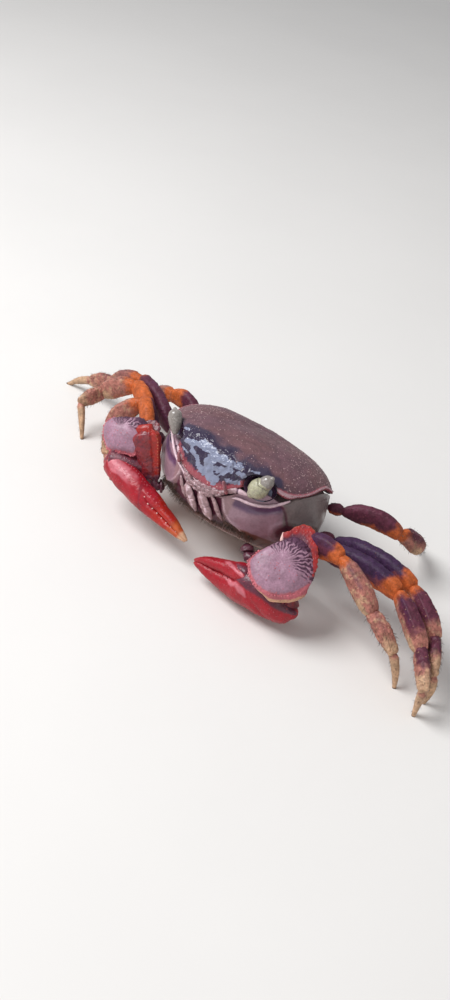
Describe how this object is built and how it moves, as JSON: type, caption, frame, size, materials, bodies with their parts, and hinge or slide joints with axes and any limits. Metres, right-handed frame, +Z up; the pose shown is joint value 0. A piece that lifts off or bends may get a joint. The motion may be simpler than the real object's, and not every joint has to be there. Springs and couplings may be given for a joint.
{
  "type": "land crab figure",
  "caption": "Life-size standing land crab with a domed purple-brown shell, raised eyes, red claws folded in front and jointed walking legs spread on the floor.",
  "frame": {"origin": "on the floor under the middle of the model's outline", "axes": "+X to the crab's left, -Y ahead of it, +Z up"},
  "size_m": [0.123, 0.051, 0.0262],
  "materials": {
    "shell": "satin purple-brown shell with fine pale granules",
    "cheek": "smooth mauve shell",
    "belly": "satin pale brown shell",
    "eye": "glossy pale yellow-green",
    "mouth": "satin pinkish brown",
    "claw": "glossy crimson shell",
    "claw_wrist": "satin mauve shell with fine wrinkles",
    "claw_arm": "satin orange-red shell",
    "leg_upper": "satin dark maroon shell",
    "leg_lower": "satin orange-brown shell",
    "leg_tip": "satin yellowish tan shell"
  },
  "bodies": {
    "root": {"abdomen": "belly", "antenna_left": "mouth", "antenna_right": "mouth", "carapace": "shell", "claw_left_base": "claw_arm", "claw_left_carpus": "claw_wrist", "claw_left_finger": "claw", "claw_left_merus": "claw_arm", "claw_left_palm": "claw", "claw_right_base": "claw_arm", "claw_right_carpus": "claw_wrist", "claw_right_finger": "claw", "claw_right_merus": "claw_arm", "claw_right_palm": "claw", "eye_left": "eye", "eye_right": "eye", "leg_left_1_carpus": "leg_lower", "leg_left_1_coxa": "leg_upper", "leg_left_1_dactyl": "leg_tip", "leg_left_1_merus": "leg_upper", "leg_left_1_propodus": "leg_lower", "leg_left_2_carpus": "leg_lower", "leg_left_2_coxa": "leg_upper", "leg_left_2_dactyl": "leg_tip", "leg_left_2_merus": "leg_upper", "leg_left_2_propodus": "leg_lower", "leg_left_3_carpus": "leg_lower", "leg_left_3_coxa": "leg_upper", "leg_left_3_dactyl": "leg_tip", "leg_left_3_merus": "leg_upper", "leg_left_3_propodus": "leg_lower", "leg_left_4_carpus": "leg_lower", "leg_left_4_coxa": "leg_upper", "leg_left_4_dactyl": "leg_tip", "leg_left_4_merus": "leg_upper", "leg_left_4_propodus": "leg_lower", "leg_right_1_carpus": "leg_lower", "leg_right_1_coxa": "leg_upper", "leg_right_1_dactyl": "leg_tip", "leg_right_1_merus": "leg_upper", "leg_right_1_propodus": "leg_lower", "leg_right_2_carpus": "leg_lower", "leg_right_2_coxa": "leg_upper", "leg_right_2_dactyl": "leg_tip", "leg_right_2_merus": "leg_upper", "leg_right_2_propodus": "leg_lower", "leg_right_3_carpus": "leg_lower", "leg_right_3_coxa": "leg_upper", "leg_right_3_dactyl": "leg_tip", "leg_right_3_merus": "leg_upper", "leg_right_3_propodus": "leg_lower", "leg_right_4_carpus": "leg_lower", "leg_right_4_coxa": "leg_upper", "leg_right_4_dactyl": "leg_tip", "leg_right_4_merus": "leg_upper", "leg_right_4_propodus": "leg_lower", "maxilliped_left": "mouth", "maxilliped_right": "mouth", "thorax": "cheek"}
  },
  "joints": []
}
